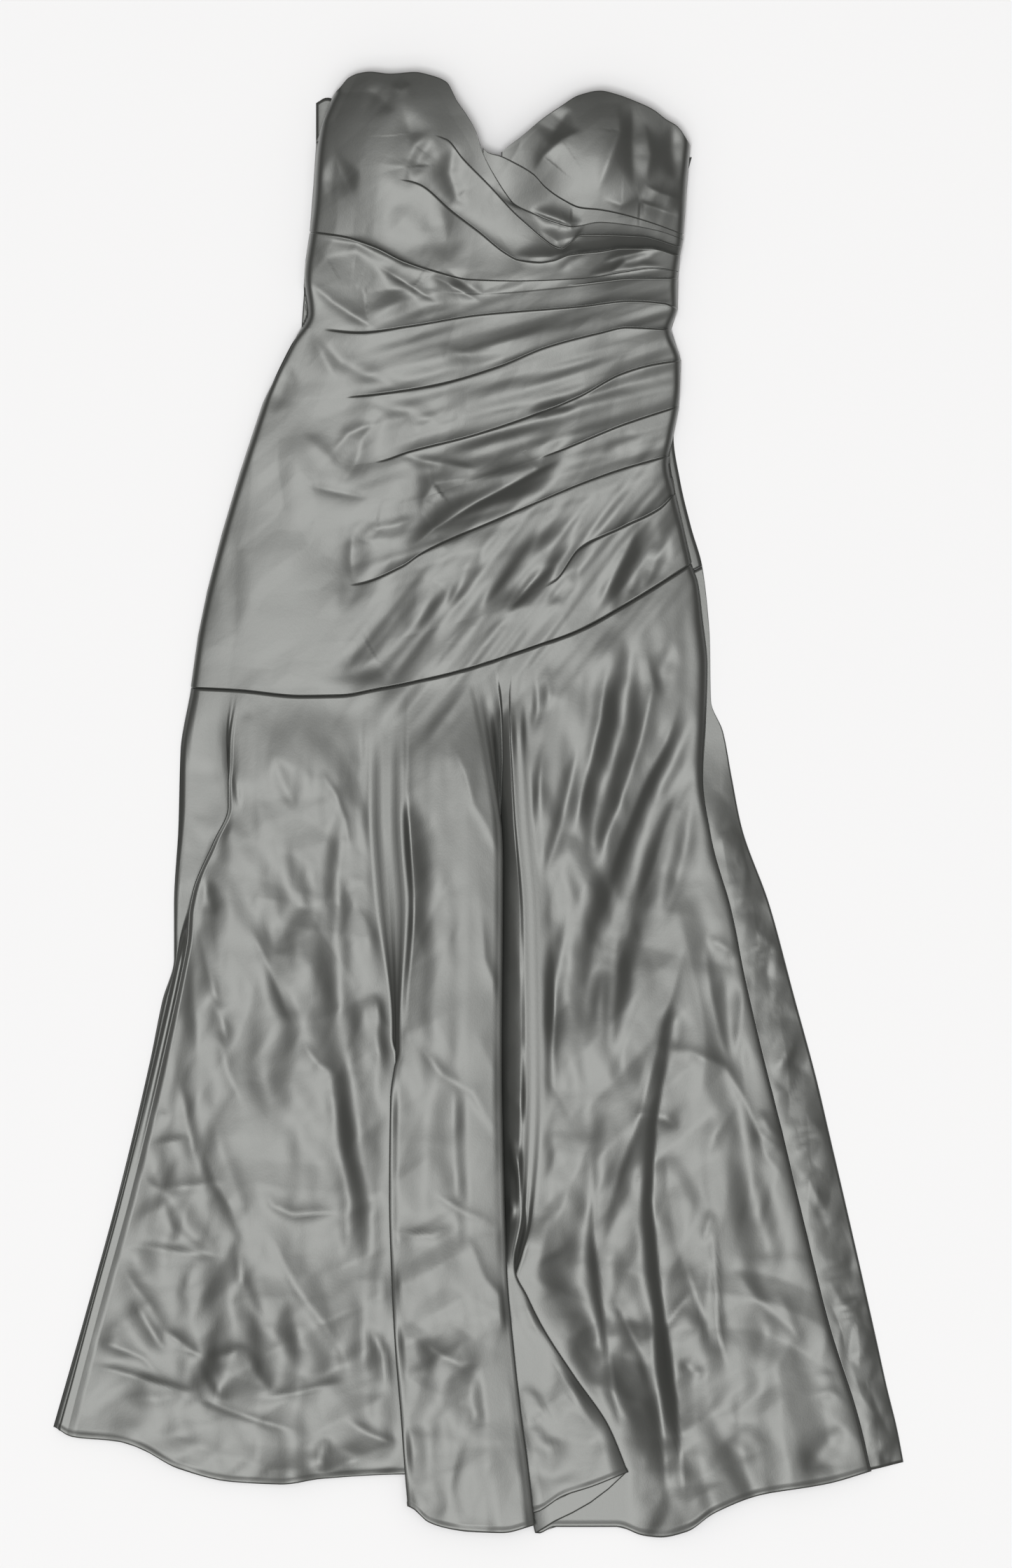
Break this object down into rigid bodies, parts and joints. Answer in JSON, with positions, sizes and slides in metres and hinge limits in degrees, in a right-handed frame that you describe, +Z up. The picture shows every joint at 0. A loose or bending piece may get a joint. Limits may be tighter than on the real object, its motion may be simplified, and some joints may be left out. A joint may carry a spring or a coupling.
{
  "type": "strapless dress",
  "caption": "Strapless satin evening dress with a sweetheart bust, a pleated draped midriff and a flared skirt, laid flat on its back.",
  "frame": {"origin": "centre of the bounding box of the laid dress at the surface that it lies on", "axes": "+X to the right of the dress as seen from above, +Y towards the neckline along its length, +Z up, off the surface"},
  "size_m": [0.775, 1.3344, 0.0493],
  "materials": {
    "satin": "grey-green duchess satin",
    "zip_tape": "woven zip tape, grey-green"
  },
  "bodies": {
    "root": {"bust_wrap": "satin", "centre_band": "satin", "right_cup": "satin", "draped_midriff": "satin", "front_skirt": "satin", "back_bodice_left": "satin", "back_bodice_right": "satin", "back_zip": "zip_tape", "back_skirt": "satin"}
  },
  "joints": []
}
